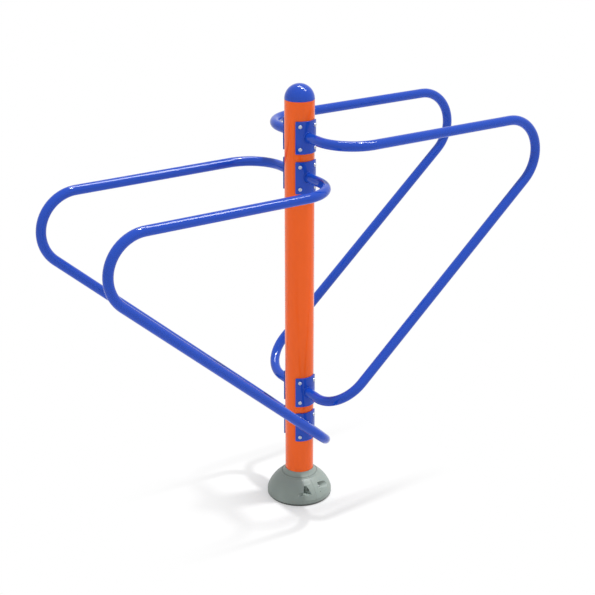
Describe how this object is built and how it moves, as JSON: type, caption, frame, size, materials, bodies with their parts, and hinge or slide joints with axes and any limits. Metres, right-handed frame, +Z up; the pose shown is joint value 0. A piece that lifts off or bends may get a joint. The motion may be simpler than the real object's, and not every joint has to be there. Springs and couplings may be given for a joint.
{
  "type": "dip station",
  "caption": "Outdoor gym dip station: a round post with a pair of bent parallel bars on each side, one pair a step higher, and a domed cover on its foot.",
  "frame": {"origin": "on the ground at the post's axis, which is the bottom centre of the whole station", "axes": "+Z up along the post, +X out along the higher pair of bars, -Y the side of the rails named front"},
  "size_m": [1.9146, 0.588, 1.7097],
  "materials": {
    "orange_coat": "glossy orange powder coat on steel",
    "blue_coat": "glossy blue powder coat on steel",
    "stainless": "bright stainless steel",
    "zinc_plate": "dull zinc plate",
    "cover_plastic": "satin moulded plastic, grey green",
    "black_steel": "blackened steel"
  },
  "bodies": {
    "root": {"bar_weld_left_back": "blue_coat", "bar_weld_left_front": "blue_coat", "bar_weld_right_back": "blue_coat", "bar_weld_right_front": "blue_coat", "base_flange": "orange_coat", "bolts_left_back_lower": "stainless", "bolts_left_back_upper": "stainless", "bolts_left_front_lower": "stainless", "bolts_left_front_upper": "stainless", "bolts_right_back_lower": "stainless", "bolts_right_back_upper": "stainless", "bolts_right_front_lower": "stainless", "bolts_right_front_upper": "stainless", "cover_left": "cover_plastic", "cover_nuts": "black_steel", "cover_right": "cover_plastic", "cover_screws": "black_steel", "foot_weld": "orange_coat", "gusset_1": "orange_coat", "gusset_2": "orange_coat", "gusset_3": "orange_coat", "gusset_4": "orange_coat", "inserts_left_back_lower": "zinc_plate", "inserts_left_back_upper": "zinc_plate", "inserts_left_front_lower": "zinc_plate", "inserts_left_front_upper": "zinc_plate", "inserts_right_back_lower": "zinc_plate", "inserts_right_back_upper": "zinc_plate", "inserts_right_front_lower": "zinc_plate", "inserts_right_front_upper": "zinc_plate", "main_post": "orange_coat", "post_cap": "blue_coat", "rail_left_back": "blue_coat", "rail_left_front": "blue_coat", "rail_right_back": "blue_coat", "rail_right_front": "blue_coat", "saddle_left_back_lower": "blue_coat", "saddle_left_back_upper": "blue_coat", "saddle_left_front_lower": "blue_coat", "saddle_left_front_upper": "blue_coat", "saddle_right_back_lower": "blue_coat", "saddle_right_back_upper": "blue_coat", "saddle_right_front_lower": "blue_coat", "saddle_right_front_upper": "blue_coat"}
  },
  "joints": []
}
